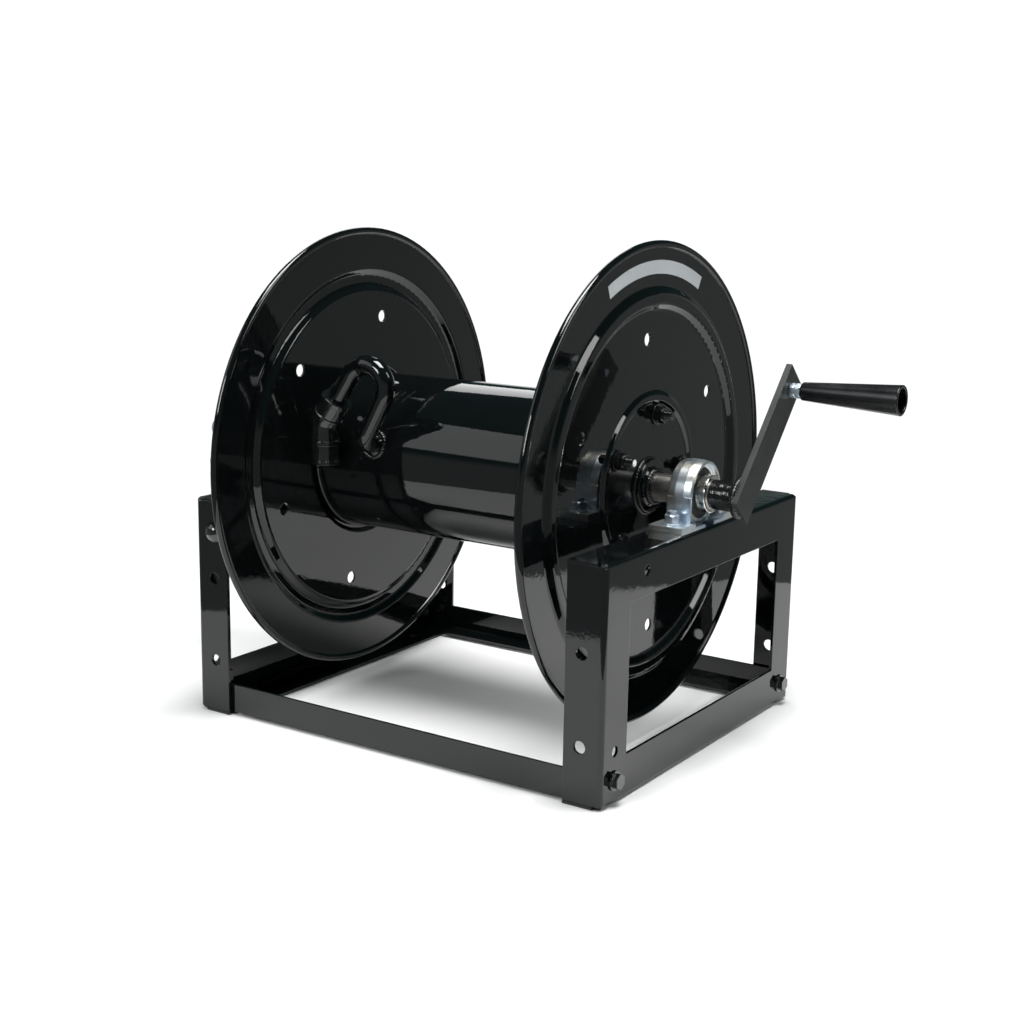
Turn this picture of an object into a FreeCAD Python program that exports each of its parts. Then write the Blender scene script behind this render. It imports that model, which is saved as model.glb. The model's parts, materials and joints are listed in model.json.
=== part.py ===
"""Manual crank hose reel with two pillow block bearings, a gooseneck outlet and a 90 degree inlet swivel.

Frame of the part: +X is the crank side, +Y the rear, +Z up. The origin lies on the floor at the middle of
the base, so the reel turns about a line parallel to X at the height axis_height.
"""
import FreeCAD, Part
import Sketcher
import math
import os
import re
from FreeCAD import Placement, Rotation, Vector

SIZES = {
    # base
    "frame_half_width": 260.0, "frame_half_depth": 213.0, "frame_height": 242.0, "sheet_gauge": 3.0,
    "side_flange": 43.0, "bottom_flange": 47.0, "bend_radius": 5.0, "corner_relief": 4.0,
    "post_width": 47.0, "top_band": 45.0, "bottom_band": 45.0,
    "rail_height": 31.0, "rail_leg": 30.0, "rail_setback": 4.8, "rail_tab": 42.0, "rail_clearance": 0.2,
    "base_bolt_depth": 188.0, "base_bolt_level": 24.5, "base_bolt_radius": 4.8,
    "spare_hole_level": 54.0, "cover_hole_depth": 135.0, "cover_hole_level": 222.0, "spare_hole_radius": 5.5,
    "flange_hole_across": 235.0, "flange_hole_low": 60.0, "flange_hole_high": 153.0,
    "flange_hole_radius": 6.5,
    "floor_hole_across": 236.0, "floor_hole_depth": 150.0, "floor_hole_radius": 5.5,
    # bearings
    "bearing_rise": 33.3, "bearing_across": 238.0, "shaft_radius": 15.0, "ring_clearance": 0.02,
    "outer_ring_radius": 31.0, "outer_ring_width": 16.0, "outer_ring_bore": 26.4,
    "inner_ring_radius": 19.6, "inner_ring_short": 8.0, "inner_ring_long": 21.0,
    "ball_circle": 23.0, "ball_radius": 4.76, "race_radius": 4.84, "ball_count": 9.0,
    "cage_radius": 22.0, "cage_wall": 2.0, "cage_width": 11.4,
    "housing_gauge": 3.2, "housing_width": 27.0, "foot_width": 38.0, "foot_reach": 61.0, "foot_gauge": 3.6,
    "bearing_bolt_reach": 47.5, "bearing_bolt_radius": 4.8, "bearing_slot": 5.75,
    # reel
    "reel_offset": -5.5, "reel_half_width": 186.5, "disc_radius": 254.0, "disc_gauge": 2.5,
    "rim_bead": 4.0, "rib_height": 6.0, "annulus_rise": 3.0, "hub_bead_rise": 3.0,
    "lightening_circle": 154.0, "lightening_radius": 6.8, "lightening_count": 6.0,
    "drum_radius": 90.0, "drum_gauge": 2.5, "drum_flange": 5.0,
    "tie_circle": 75.0, "tie_radius": 4.8, "tie_count": 5.0, "tie_start": 8.0, "tie_stub": 20.0,
    "hub_radius": 28.5, "hub_gauge": 5.0, "hub_sleeve": 21.0,
    # water path
    "axle_bore": 8.0, "axle_end": 338.0, "axle_inner_end": 128.0, "pipe_radius": 10.65, "pipe_bore": 7.9,
    "feed_elbow_radius": 17.0, "feed_neck_radius": 15.0, "feed_seat": 22.0,
    "gooseneck_angle": 165.0, "gooseneck_station": -112.0, "gooseneck_bend": 23.0, "gooseneck_fall_bend": 29.0,
    "outlet_station": -163.0, "outlet_depth": -110.0, "outlet_level": 0.0, "outlet_drop": 46.0,
    "outlet_radius": 15.4, "outlet_socket": 32.0, "port_radius": 9.6, "port_length": 20.0,
    # crank
    "crank_radius": 137.0, "crank_angle": 47.5, "crank_inner_face": 292.0, "crank_gauge": 6.5,
    "crank_width": 37.0, "crank_tail": 18.0, "crank_tip": 20.0,
    "handle_bolt_radius": 4.75, "handle_gap": 0.8, "handle_length": 108.0, "handle_cup": 32.0,
    "handle_small_radius": 9.6, "handle_large_radius": 16.0,
    # inlet swivel, stations counted outwards from the middle of the base
    "swivel_start": 353.0, "swivel_barrel": 44.0, "swivel_radius": 20.0, "swivel_bore": 12.0,
    "knuckle_radius": 16.0, "neck_radius": 14.0, "neck_drop": 38.8,
    "stem_radius": 9.0, "stem_end": 404.0, "inlet_station": 417.5, "inlet_drop": 88.0,
    "collar_radius": 19.0, "inlet_radius": 17.0, "inlet_lower_radius": 15.0,
    # brake
    "brake_level": 205.0, "brake_bolt_radius": 4.75, "brake_width": 22.0, "brake_gauge": 4.0,
    "brake_plane": 209.0, "brake_pad_level": 180.0,
}

doc = FreeCAD.newDocument("hose_reel")
sheet = doc.addObject("Spreadsheet::Sheet", "sizes")
for row, (alias, number) in enumerate(SIZES.items(), start=1):
    sheet.set(f"A{row}", alias)
    sheet.set(f"B{row}", str(number))
    sheet.setAlias(f"B{row}", alias)
sheet.set(f"A{len(SIZES) + 1}", "axis_height")
sheet.set(f"B{len(SIZES) + 1}", "=frame_height + bearing_rise")
sheet.setAlias(f"B{len(SIZES) + 1}", "axis_height")
doc.recompute()

NODES = {}
GROUPS = set()
AXES = {"x": Rotation(Vector(0, 1, 0), 90), "y": Rotation(Vector(1, 0, 0), -90), "z": Rotation()}


def size(alias):
    """The number that a cell of the sheet holds."""
    return float(sheet.get(alias))


def formula(text):
    """Write the sheet's name in front of each alias of a short expression."""
    return re.sub(r"\[(\w+)\]", r"sizes.\1", str(text))


def value(text):
    """Work out a short expression of [alias] names as a number."""
    return float(sheet.evalExpression(formula(text)))


def bind(thing, **expressions):
    """Bind properties of an object to expressions of the sheet's cells."""
    for name, text in expressions.items():
        thing.setExpression(name, formula(text))


def put(thing, x="0", y="0", z="0"):
    """Bind the base point of an object's placement to the sheet."""
    for letter, text in zip("xyz", (x, y, z)):
        thing.setExpression(f"Placement.Base.{letter}", formula(text))
    return thing


def keep(label, thing):
    """Register a finished sub-part under its own label."""
    thing.Label = label
    NODES[label] = thing
    return thing


def box(corner, lengths):
    """A box from its lowest corner and its three lengths."""
    thing = doc.addObject("Part::Box", "Box")
    bind(thing, Length=lengths[0], Width=lengths[1], Height=lengths[2])
    return put(thing, *corner)


def rod(axis, start, radius, length):
    """A cylinder along one of the part's axes, from its start point."""
    thing = doc.addObject("Part::Cylinder", "Cylinder")
    bind(thing, Radius=radius, Height=length)
    thing.Placement = Placement(Vector(), AXES[axis])
    return put(thing, *start)


def hexagon(axis, start, across_flats, length):
    """A hexagonal prism along one of the part's axes."""
    thing = doc.addObject("Part::Prism", "Prism")
    thing.Polygon = 6
    bind(thing, Circumradius=f"({across_flats}) / 2 / cos(30 deg)", Height=length)
    thing.Placement = Placement(Vector(), AXES[axis])
    return put(thing, *start)


def fuse(*things):
    """The union of several solids as one object."""
    union = doc.addObject("Part::MultiFuse", "Union")
    union.Shapes = list(things)
    union.Refine = True
    return union


def cut(base, *tools):
    """A solid less one or more tools."""
    result = doc.addObject("Part::Cut", "Cut")
    result.Base = base
    result.Tool = tools[0] if len(tools) == 1 else fuse(*tools)
    return result


def common(first, second):
    """What two solids share."""
    result = doc.addObject("Part::Common", "Common")
    result.Base = first
    result.Tool = second
    return result


def plane(body, role):
    """One of a body's own origin planes."""
    return next(item for item in body.Origin.OriginFeatures if item.Role == role)


def sketch_on(body, role, name="Outline"):
    """A sketch lying on one of a body's origin planes."""
    sketch = body.newObject("Sketcher::SketchObject", name)
    sketch.AttachmentSupport = [(plane(body, role), "")]
    sketch.MapMode = "FlatFace"
    return sketch


def polygon(sketch, corners):
    """A closed outline whose corners are bound to the sheet."""
    count = len(corners)
    numbers = [(value(a), value(b)) for a, b in corners]
    for index, point in enumerate(numbers):
        after = numbers[(index + 1) % count]
        sketch.addGeometry(Part.LineSegment(Vector(*point, 0), Vector(*after, 0)), False)
    for index in range(count):
        sketch.addConstraint(Sketcher.Constraint("Coincident", index, 2, (index + 1) % count, 1))
    for index, (texts, point) in enumerate(zip(corners, numbers)):
        for kind, axis, text, number in (("DistanceX", -2, texts[0], point[0]),
                                         ("DistanceY", -1, texts[1], point[1])):
            if abs(number) < 1e-9:
                sketch.addConstraint(Sketcher.Constraint("PointOnObject", index, 1, axis))
                continue
            place = sketch.addConstraint(Sketcher.Constraint(kind, -1, 1, index, 1, number))
            name = f"{kind[-1].lower()}_{index}"
            sketch.renameConstraint(place, name)
            sketch.setExpression(f"Constraints.{name}", formula(text))


def turned(profile, x="0", rounds=()):
    """A body turned about the reel's axis from a profile of (station along X, radius) corners.

    rounds lists (radius of the rounding, corner numbers) for the circular edges that are rounded.
    """
    body = doc.addObject("PartDesign::Body", "Body")
    sketch = sketch_on(body, "XY_Plane", "Profile")
    polygon(sketch, profile)
    turn = body.newObject("PartDesign::Revolution", "Revolution")
    turn.Profile = sketch
    turn.ReferenceAxis = (sketch, ["H_Axis"])
    turn.Angle = 360
    doc.recompute()
    for radius, corners in rounds:
        names = []
        for corner in corners:
            station, reach = value(profile[corner][0]), value(profile[corner][1])
            names += [f"Edge{number}" for number, edge in enumerate(body.Tip.Shape.Edges, start=1)
                      if edge.Curve.TypeId == "Part::GeomCircle" and abs(edge.Curve.Radius - reach) < 1e-4
                      and abs(edge.Curve.Center.x - station) < 1e-4]
        previous = body.Tip
        round_feature = body.newObject("PartDesign::Fillet", "Rounding")
        round_feature.Base = (previous, names)
        bind(round_feature, Radius=str(radius))
        doc.recompute()
    put(body, x=x, z="[axis_height]")
    return body


def bore_ring(body, circle, radius, count, start="0"):
    """Cut a ring of round holes through a turned body, parallel to X."""
    sketch = sketch_on(body, "YZ_Plane", "Hole")
    angle = math.radians(value(start))
    centre = Vector(value(circle) * math.cos(angle), value(circle) * math.sin(angle), 0)
    sketch.addGeometry(Part.Circle(centre, Vector(0, 0, 1), value(radius)), False)
    for kind, text, number in (("DistanceX", f"({circle}) * cos(({start}) * 1 deg)", centre.x),
                               ("DistanceY", f"({circle}) * sin(({start}) * 1 deg)", centre.y)):
        place = sketch.addConstraint(Sketcher.Constraint(kind, -1, 1, 0, 3, number))
        sketch.setExpression(f"Constraints[{place}]", formula(text))
    place = sketch.addConstraint(Sketcher.Constraint("Radius", 0, value(radius)))
    sketch.setExpression(f"Constraints[{place}]", formula(radius))
    before = body.Tip.Shape.Volume
    pocket = body.newObject("PartDesign::Pocket", "Pocket")
    pocket.Profile = sketch
    pocket.Type = "ThroughAll"
    pocket.Midplane = True
    doc.recompute()
    pattern = body.newObject("PartDesign::PolarPattern", "Ring")
    pattern.Originals = [pocket]
    pattern.Axis = (sketch, ["N_Axis"])
    pattern.Angle = 360
    bind(pattern, Occurrences=str(count))
    body.Tip = pattern
    doc.recompute()
    assert body.Tip.Shape.Volume < before - 1.0, "a ring of holes cut nothing"


def group(label, shapes):
    """A node that holds several separate, equal solids."""
    thing = doc.addObject("Part::Feature", label)
    thing.Shape = Part.makeCompound(shapes)
    GROUPS.add(label)
    return keep(label, thing)


def copies(label, master, placements):
    """Place copies of one finished object as separate solids in one node."""
    doc.recompute()
    solid = master.Shape.copy()
    return group(label, [solid.transformed(move.toMatrix()) for move in placements])


def at(x, y, z, turn=None):
    """A placement from three expressions and an optional rotation."""
    return Placement(Vector(value(x), value(y), value(z)), turn or Rotation())


def on_axis(x, radius, degrees):
    """A placement on a circle about the reel's axis."""
    angle = math.radians(degrees)
    return Placement(Vector(x, radius * math.cos(angle), value("[axis_height]") + radius * math.sin(angle)),
                     Rotation())


def threaded_profile(start, plain_end, tip, radius, pitch=1.5, depth=0.55):
    """Corners of a half profile: a plain shank and then ring-shaped thread ridges up to the tip."""
    corners = [(start, "0"), (start, str(radius)), (plain_end, str(radius))]
    turns = int((value(tip) - value(plain_end) - 0.8) / pitch)
    for turn in range(turns):
        corners.append((f"{plain_end} + {(turn + 0.5) * pitch:.3f}", f"{radius} - {depth}"))
        corners.append((f"{plain_end} + {(turn + 1) * pitch:.3f}", str(radius)))
    corners += [(tip, f"{radius} - {depth} - 0.3"), (tip, "0")]
    return corners


# ---------------------------------------------------------------- base

def side_frame(label, side):
    """One side of the base: a folded steel sheet with a window and flanges on all four edges.

    side is 1 on the crank side and -1 on the swivel side; the flanges point towards the reel.
    """
    outer = ("[frame_half_width] - [side_flange]" if side > 0 else "-[frame_half_width]")
    shell = fillet_block(outer, side)
    inner_start = f"{outer} - 1" if side > 0 else f"{outer} + [sheet_gauge]"
    hollow = box((inner_start, "-[frame_half_depth] + [sheet_gauge]", "[sheet_gauge]"),
                 ("[side_flange] - [sheet_gauge] + 1", "2 * [frame_half_depth] - 2 * [sheet_gauge]",
                  "[frame_height] - 2 * [sheet_gauge]"))
    window = box((f"{'' if side > 0 else '-'}[frame_half_width] - 10",
                  "-[frame_half_depth] + [post_width]", "[bottom_band]"),
                 ("20", "2 * [frame_half_depth] - 2 * [post_width]",
                  "[frame_height] - [top_band] - [bottom_band]"))
    base_start = ("[frame_half_width] - [bottom_flange]" if side > 0 else
                  "-[frame_half_width] + [side_flange] - 1")
    foot = box((base_start, "-[frame_half_depth] + [sheet_gauge] + 4", "0"),
               ("[bottom_flange] - [side_flange] + 1", "2 * [frame_half_depth] - 2 * [sheet_gauge] - 8",
                "[sheet_gauge]"))
    face = f"{'' if side > 0 else '-'}[frame_half_width] - 10"
    tools = [hollow, window]
    seam_length = "[side_flange] - [sheet_gauge] + 1"
    for front in (-1, 1):
        y_end = f"{front} * [frame_half_depth]"
        tools.append(rod("x", (face, y_end, "[frame_height]"), "[corner_relief]", "20"))
        tools.append(rod("x", (face, y_end, "0"), "[corner_relief]", "20"))
        seam_y = f"{y_end} - 3.5" if front > 0 else f"{y_end} - 1"
        for seam_z in ("[frame_height] - [sheet_gauge] - 0.5", "[sheet_gauge]"):
            tools.append(box((inner_start, seam_y, seam_z), (seam_length, "4.5", "0.5")))
        tools.append(rod("x", (face, f"{front} * [base_bolt_depth]", "[base_bolt_level]"),
                         "[base_bolt_radius] + 0.3", "20"))
        for level in ("[flange_hole_low]", "[flange_hole_high]"):
            tools.append(rod("y", (f"{side} * [flange_hole_across]", f"{y_end} - 5", level),
                             "[flange_hole_radius]", "10"))
        tools.append(rod("z", (f"{side} * [floor_hole_across]", f"{front} * [floor_hole_depth]", "-5"),
                         "[floor_hole_radius]", "10"))
        tools.append(rod("z", (f"{side} * [bearing_across]", f"{front} * [bearing_bolt_reach]",
                               "[frame_height] - 10"), "[bearing_bolt_radius] + 0.5", "20"))
    tools.append(rod("x", (face, "-[base_bolt_depth]", "[spare_hole_level]"), "[spare_hole_radius]", "20"))
    tools.append(rod("x", (face, "-[cover_hole_depth]", "[cover_hole_level]"), "[spare_hole_radius]", "20"))
    if side < 0:
        tools.append(rod("y", ("-[flange_hole_across]", "-[frame_half_depth] - 5", "[brake_level]"),
                         "[brake_bolt_radius] + 0.3", "10"))
    keep(label, cut(fuse(shell, foot), *tools))


def fillet_block(start, side):
    """The folded sheet's outer block, with the bend radius round the edges of its face plate."""
    block = box((start, "-[frame_half_depth]", "0"),
                ("[side_flange]", "2 * [frame_half_depth]", "[frame_height]"))
    doc.recompute()
    face_x = side * size("frame_half_width")
    edges = [number for number, edge in enumerate(block.Shape.Edges, start=1)
             if all(abs(vertex.X - face_x) < 1e-6 for vertex in edge.Vertexes)]
    rounded = doc.addObject("Part::Fillet", "Bends")
    rounded.Base = block
    rounded.Edges = [(number, size("bend_radius"), size("bend_radius")) for number in edges]
    return rounded


def base_rail(label, front):
    """A folded angle that joins the two side frames at the floor, with a bolting tab at each end."""
    wall = "[frame_half_depth] - [rail_setback]"
    end = "[frame_half_width] - [sheet_gauge] - [rail_clearance]"
    low = "[sheet_gauge] + [rail_clearance]"
    upright = box((f"-({end})", f"{wall} - [sheet_gauge]", low),
                  (f"2 * ({end})", "[sheet_gauge]", "[rail_height]"))
    leg = box((f"-({end}) + [bottom_flange]", f"{wall} - [rail_leg]", low),
              (f"2 * ({end}) - 2 * [bottom_flange]", "[rail_leg]", "[sheet_gauge]"))
    tabs = [box((x, f"{wall} - [rail_tab]", low), ("[sheet_gauge]", "[rail_tab]", "[rail_height]"))
            for x in (f"-({end})", f"{end} - [sheet_gauge]")]
    holes = rod("x", (f"-({end}) - 5", "[base_bolt_depth]", "[base_bolt_level]"), "[base_bolt_radius] + 0.3",
                f"2 * ({end}) + 10")
    rail = cut(fuse(upright, leg, *tabs), holes)
    if front < 0:
        mirror = doc.addObject("Part::Mirroring", "Mirrored")
        mirror.Source = rail
        mirror.Normal = Vector(0, 1, 0)
        rail = mirror
    keep(label, rail)


side_frame("side_frame_right", 1)
side_frame("side_frame_left", -1)
base_rail("base_rail_rear", 1)
base_rail("base_rail_front", -1)


# ---------------------------------------------------------------- bearings

def mirrored(text, side):
    """An expression for a station along X, mirrored to the swivel side where side is -1."""
    return f"{side} * ({text})"


def bearing_turned(side, profile, rounds=()):
    """A body turned about the reel's axis, its stations counted outwards from the bearing's middle."""
    return turned([(mirrored(x, side), r) for x, r in profile], mirrored("[bearing_across]", side), rounds)


def bearing(name, side):
    """A pressed-steel pillow block: two housing halves, outer and inner ring, balls, cage and seals."""
    centre = mirrored("[bearing_across]", side)
    half = "[outer_ring_width] / 2"
    groove = doc.addObject("Part::Torus", "Race")
    bind(groove, Radius1="[ball_circle]", Radius2="[race_radius]")
    groove.Placement = Placement(Vector(), AXES["x"])
    put(groove, centre, "0", "[axis_height]")

    crowned = "[outer_ring_radius] - 0.9"
    outer = bearing_turned(side, [(f"-({half})", "[outer_ring_bore]"), (f"-({half})", crowned),
                                  ("-3", "[outer_ring_radius]"), ("3", "[outer_ring_radius]"),
                                  (half, crowned), (half, "[outer_ring_bore]")])
    keep(f"bearing_outer_ring_{name}", cut(outer, groove))
    ring_bore = "[shaft_radius] + [ring_clearance]"
    ring_profile = [("-[inner_ring_short]", ring_bore), ("-[inner_ring_short]", "[inner_ring_radius]"),
                    ("[inner_ring_long]", "[inner_ring_radius]"), ("[inner_ring_long]", ring_bore)]
    inner = bearing_turned(side, ring_profile, ((0.8, (1, 2)),))
    screw_station = f"{side} * ([bearing_across] + [inner_ring_long] - 5.5)"
    screw_hole = rod("z", (screw_station, "0", "[axis_height]"), "2.6", "30")
    keep(f"bearing_inner_ring_{name}", cut(inner, groove, screw_hole))

    middle = value(centre)
    balls = []
    count = int(size("ball_count"))
    for index in range(count):
        spot = on_axis(middle, size("ball_circle"), 360 * index / count + 97)
        balls.append(Part.makeSphere(size("ball_radius"), spot.Base))
    group(f"bearing_balls_{name}", balls)

    ring = bearing_turned(side, [("-[cage_width] / 2", "[cage_radius]"),
                                 ("-[cage_width] / 2", "[cage_radius] + [cage_wall]"),
                                 ("[cage_width] / 2", "[cage_radius] + [cage_wall]"),
                                 ("[cage_width] / 2", "[cage_radius]")])
    doc.recompute()
    pockets = [Part.makeSphere(size("ball_radius") + 0.12, ball.CenterOfMass) for ball in balls]
    cage = doc.addObject("Part::Feature", "Cage")
    cage.Shape = ring.Shape.cut(pockets)
    keep(f"bearing_cage_{name}", cage)

    seals = []
    lip = "[inner_ring_radius] + 0.1"
    seal_profile = [("6.2", lip), ("6.2", "[outer_ring_bore]"), ("7.4", "[outer_ring_bore]"), ("7.4", lip)]
    for face in (-1, 1):
        seal = bearing_turned(side * face, seal_profile)
        if face < 0:
            put(seal, x=centre, z="[axis_height]")
        doc.recompute()
        seals.append(seal.Shape)
    group(f"bearing_seals_{name}", seals)

    width = "[housing_width] / 2"
    seat = "[outer_ring_radius] + 0.02"
    crown = "[outer_ring_radius] + [housing_gauge]"
    shell = [(f"-({width})", f"{seat} - 1"), (f"-({width})", f"{crown} - 1.2"), ("-5", crown), ("5", crown),
             (width, f"{crown} - 1.2"), (width, f"{seat} - 1"), (f"{half} + 0.3", f"{seat} - 1"),
             (f"{half} + 0.3", seat), (f"-({half}) - 0.3", seat), (f"-({half}) - 0.3", f"{seat} - 1")]
    x_low = f"{centre} - {width}"
    arch = common(bearing_turned(side, shell, ((2.0, (1, 4)),)),
                  box((x_low, "-60", "[axis_height] + 0.1"), ("[housing_width]", "120", "60")))
    foot_top = "[frame_height] + 2 * [foot_gauge]"
    parts = [arch]
    for front in (-1, 1):
        inside = f"{seat} + 0.2" if front > 0 else f"-({crown})"
        leg = ("[housing_width]", "[housing_gauge] - 0.22", "[bearing_rise] + 0.1 - [foot_gauge]")
        parts.append(box((x_low, inside, f"{foot_top} - [foot_gauge]"), leg))
        inner_end = inside if front > 0 else "-[foot_reach]"
        parts.append(box((f"{centre} - [foot_width] / 2", inner_end, f"{foot_top} - [foot_gauge]"),
                         ("[foot_width]", f"[foot_reach] - ({seat}) - 0.2", "[foot_gauge]")))
    slots = [rod("z", (centre, f"{front} * [bearing_bolt_reach]", "[frame_height] - 5"),
                 "[bearing_slot]", "30") for front in (-1, 1)]
    keep(f"bearing_housing_upper_{name}", cut(fuse(*parts), *slots))

    lower_shell = [(f"-({half}) - 0.3", seat), (f"-({half}) - 0.3", "[outer_ring_radius] + 2.1"),
                   (f"{half} + 0.3", "[outer_ring_radius] + 2.1"), (f"{half} + 0.3", seat)]
    cradle = common(bearing_turned(side, lower_shell),
                    box((x_low, "-60", "[frame_height]"), ("[housing_width]", "120", "[bearing_rise] - 12")))
    foot_size = ("[foot_width]", "[foot_reach] - 10", "[foot_gauge] - 0.05")
    feet = [box((f"{centre} - [foot_width] / 2", start, "[frame_height]"), foot_size)
            for start in ("-[foot_reach]", "10")]
    bed = rod("x", (f"{centre} - 25", "0", "[axis_height]"), seat, "50")
    keep(f"bearing_housing_lower_{name}", cut(fuse(cradle, *feet), bed, *slots))


bearing("right", 1)
bearing("left", -1)

corners = [(side, front) for side in (-1, 1) for front in (-1, 1)]
bolt_spots = [(f"{side} * [bearing_across]", f"{front} * [bearing_bolt_reach]") for side, front in corners]
level = "[frame_height] - [sheet_gauge]"
foot_stack = "[sheet_gauge] + 2 * [foot_gauge]"
bolt_head = hexagon("z", ("0", "0", "-6.4"), "14.3", "6.3")
bolt_flange = rod("z", ("0", "0", "-1.6"), "10", "1.5")
bolt_shank = rod("z", ("0", "0", "-2"), "[bearing_bolt_radius]", f"{foot_stack} + 16")
copies("bearing_bolts", fuse(bolt_head, bolt_flange, bolt_shank), [at(x, y, level) for x, y in bolt_spots])
top = "[frame_height] + 2 * [foot_gauge]"
washer = cut(rod("z", ("0", "0", "0.05"), "10.3", "1.8"),
             rod("z", ("0", "0", "-1"), "[bearing_bolt_radius] + 0.3", "5"))
copies("bearing_washers", washer, [at(x, y, top) for x, y in bolt_spots])


def hex_nut(axis, across, length, bore, start="0"):
    """A hexagonal nut whose corners are chamfered on both faces."""
    spot = [start if letter == axis else "0" for letter in "xyz"]
    behind = [f"{start} - 1" if letter == axis else "0" for letter in "xyz"]
    body = hexagon(axis, spot, across, length)
    barrel = rod(axis, spot, f"({across}) * 0.555", length)
    rims = doc.addObject("Part::Chamfer", "Corners")
    rims.Base = barrel
    doc.recompute()
    rims.Edges = [(number, 0.9, 0.9) for number, edge in enumerate(barrel.Shape.Edges, start=1)
                  if edge.Curve.TypeId == "Part::GeomCircle"]
    return cut(common(body, rims), rod(axis, behind, bore, f"{length} + 2"))


nut = hex_nut("z", "14.3", "8.2", "[bearing_bolt_radius] + 0.02")
copies("bearing_nuts", nut, [at(x, y, f"{top} + 1.9") for x, y in bolt_spots])


# ---------------------------------------------------------------- reel

def disc(label, side):
    """A pressed disc: hub bead, flat web with holes, raised rib ring, outer annulus and rolled rim."""
    levels = [("0", "[shaft_radius] + 0.3"), ("0", "86"), ("[hub_bead_rise]", "90"),
              ("[hub_bead_rise]", "96"), ("0", "100"), ("0", "183"),
              ("[rib_height]", "190"), ("[rib_height]", "200"),
              ("1", "207"), ("[annulus_rise]", "[disc_radius] - [rim_bead] - 1")]
    inner = [(mirrored(x, side), r) for x, r in levels]
    outer = [(mirrored(f"({x}) + [disc_gauge]", side), r) for x, r in reversed(levels)]
    last = 2 * len(levels) - 1
    soft = list(range(5, 9))
    body = turned(inner + outer, f"[reel_offset] + {mirrored('[reel_half_width]', side)}",
                  ((2.2, [1, 2, 3, 4] + [last - index for index in (1, 2, 3, 4)]),
                   (5.0, soft + [last - index for index in soft])))
    first_hole = "34" if side > 0 else "19"
    bore_ring(body, "[lightening_circle]", "[lightening_radius]", "[lightening_count]", first_hole)
    bore_ring(body, "[tie_circle]", "[tie_radius] + 0.3", "[tie_count]", "[tie_start]")
    bead = doc.addObject("Part::Torus", "Bead")
    bind(bead, Radius1="[disc_radius] - [rim_bead]", Radius2="[rim_bead]")
    bead.Placement = Placement(Vector(), AXES["x"])
    put(bead, f"[reel_offset] + {mirrored('[reel_half_width] + [annulus_rise] + [disc_gauge] / 2', side)}",
        "0", "[axis_height]")
    keep(label, fuse(body, bead))


disc("disc_right", 1)
disc("disc_left", -1)

drum_end = "[reel_half_width] - 0.05"
flange_inner = f"{drum_end} - [drum_gauge]"
flange_edge, skin = "[drum_radius] - [drum_flange]", "[drum_radius] - [drum_gauge]"
half_drum = [(drum_end, "[drum_radius]"), (drum_end, flange_edge),
             (flange_inner, flange_edge), (flange_inner, skin)]
drum_profile = [(f"-({x})", r) for x, r in reversed(half_drum)] + half_drum
drum = turned(drum_profile, "[reel_offset]", ((2.0, (3, 4)),))

right_face = "[reel_offset] + [reel_half_width] + [disc_gauge]"
left_face = "[reel_offset] - [reel_half_width] - [disc_gauge]"


def hub(label, side):
    """The hub plate welded to the shaft, with its short sleeve on the outside of the disc."""
    profile = [(mirrored(x, side), r) for x, r in
               (("0.05", "[shaft_radius] + 0.02"), ("0.05", "[hub_radius]"), ("[hub_gauge]", "[hub_radius]"),
                ("[hub_gauge]", "[hub_sleeve]"), ("[hub_gauge] + 4", "[shaft_radius] + 1.6"),
                ("[hub_gauge] + 5.5", "[shaft_radius] + 0.02"))]
    keep(label, turned(profile, right_face if side > 0 else left_face, ((1.0, (2,)),)))


def inner_plate(label, side):
    """The round plate inside the drum that the tie rods clamp against the disc."""
    profile = [(mirrored(x, side), r) for x, r in
               (("-0.1", "[shaft_radius] + 0.02"), ("-0.1", "[tie_circle] + 8.5"),
                ("-4", "[tie_circle] + 8.5"), ("-4", "[shaft_radius] + 0.02"))]
    body = turned(profile, f"[reel_offset] + {mirrored('[reel_half_width]', side)}")
    bore_ring(body, "[tie_circle]", "[tie_radius] + 0.1", "[tie_count]", "[tie_start]")
    keep(label, body)


hub("hub_plate_right", 1)
hub("hub_plate_left", -1)
inner_plate("inner_plate_right", 1)
inner_plate("inner_plate_left", -1)

rod_half = "[reel_half_width] + [disc_gauge] + [tie_stub]"
thread_start = "[reel_half_width] + [disc_gauge] + 1"
stub = threaded_profile(thread_start, thread_start, rod_half, "[tie_radius]")[2:]
tie = put(turned(stub + [(mirrored(x, -1), r) for x, r in reversed(stub)]), "[reel_offset]")
tie_step = 360 / size("tie_count")
tie_angles = [size("tie_start") + tie_step * index for index in range(int(size("tie_count")))]
copies("tie_rods", tie, [on_axis(0, size("tie_circle"), angle) for angle in tie_angles])

tie_washer = cut(rod("x", ("0", "0", "0"), "11.2", "2"),
                 rod("x", ("-1", "0", "0"), "[tie_radius] + 0.3", "4"))
tie_nut = hex_nut("x", "15.8", "8.4", "[tie_radius] + 0.02")
washer_spots, nut_spots = [], []
for angle in tie_angles:
    for face, step in ((value(right_face), 1), (value(left_face), -1)):
        washer_spots.append(on_axis(face + (0.05 if step > 0 else -2.05), size("tie_circle"), angle))
        nut_spots.append(on_axis(face + (2.1 if step > 0 else -10.5), size("tie_circle"), angle))
copies("tie_washers", tie_washer, washer_spots)
copies("tie_nuts", tie_nut, nut_spots)

shaft_root = "[reel_offset] + [reel_half_width] - 22"
keep("crank_shaft", rod("x", (shaft_root, "0", "[axis_height]"), "[shaft_radius]",
                        f"[crank_inner_face] - ({shaft_root}) - 0.05"))


# ---------------------------------------------------------------- water path

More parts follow.
